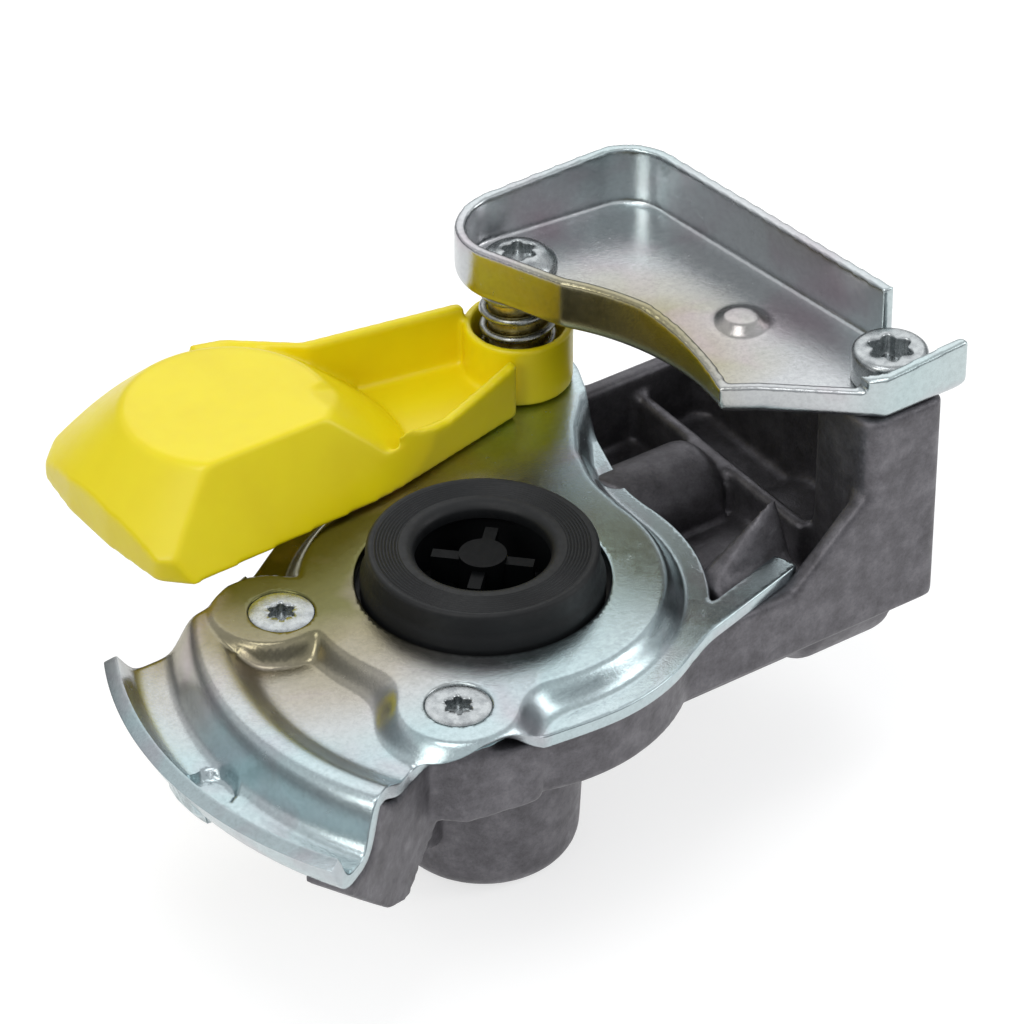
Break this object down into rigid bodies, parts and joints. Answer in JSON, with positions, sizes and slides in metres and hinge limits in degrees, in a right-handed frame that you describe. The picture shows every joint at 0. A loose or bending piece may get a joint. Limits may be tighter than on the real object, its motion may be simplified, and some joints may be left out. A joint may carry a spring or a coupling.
{
  "type": "palm coupling head for an air brake line",
  "caption": "Cast air brake coupling head with a rubber face seal, a stamped claw plate, a raised guide plate and a swinging sprung dust cap.",
  "frame": {"origin": "centre of the sealing ring's coupling face", "axes": "+Z out of the coupling face towards the mating coupling, +X along the casting towards the port"},
  "size_m": [0.1483, 0.1154, 0.09],
  "materials": {
    "cast_aluminium": "as cast, matt",
    "zinc_plate": "zinc plated, iridescent passivation",
    "black_rubber": "moulded",
    "turned_aluminium": "turned",
    "black_plastic": "moulded",
    "zinc_steel": "zinc plated",
    "spring_steel": "zinc plated wire",
    "yellow_chromate": "yellow passivation",
    "yellow_plastic": "satin moulded"
  },
  "bodies": {
    "coupling": {"housing": "cast_aluminium", "claw_plate": "zinc_plate", "guide_plate": "zinc_plate", "sealing_ring": "black_rubber", "seal_support_ring": "turned_aluminium", "valve_guide": "black_plastic", "guide_o_ring": "black_rubber", "valve_spring": "spring_steel", "spring_cup": "zinc_steel", "claw_screw_left": "zinc_steel", "claw_screw_right": "zinc_steel", "guide_bolt": "zinc_steel", "pivot_screw": "zinc_steel", "pivot_sleeve": "yellow_chromate", "cap_spring": "spring_steel"},
    "cap_lift": {"spring_seat_washer": "zinc_steel"},
    "cap": {"dust_cap": "yellow_plastic"},
    "valve": {"valve_plunger": "black_plastic", "valve_seal_disc": "black_rubber", "valve_disc_washer": "zinc_steel", "valve_rivet": "zinc_steel"}
  },
  "joints": [
    {"name": "cap_lift", "type": "slide", "parent": "coupling", "child": "cap_lift", "axis": [0, 0, 1], "range_m": [0, 0.0066], "stiffness_N_per_m": 1500, "springref_m": -0.004, "deforming": ["cap_spring"]},
    {"name": "cap_swing", "type": "hinge", "parent": "cap_lift", "child": "cap", "pos_m": [0.038, 0.044, 0], "axis": [0, 0, 1], "range_deg": [-70, 5]},
    {"name": "valve_press", "type": "slide", "parent": "coupling", "child": "valve", "axis": [0, 0, -1], "range_m": [0, 0.0035], "stiffness_N_per_m": 2000, "springref_m": -0.004, "deforming": ["valve_spring"]}
  ]
}
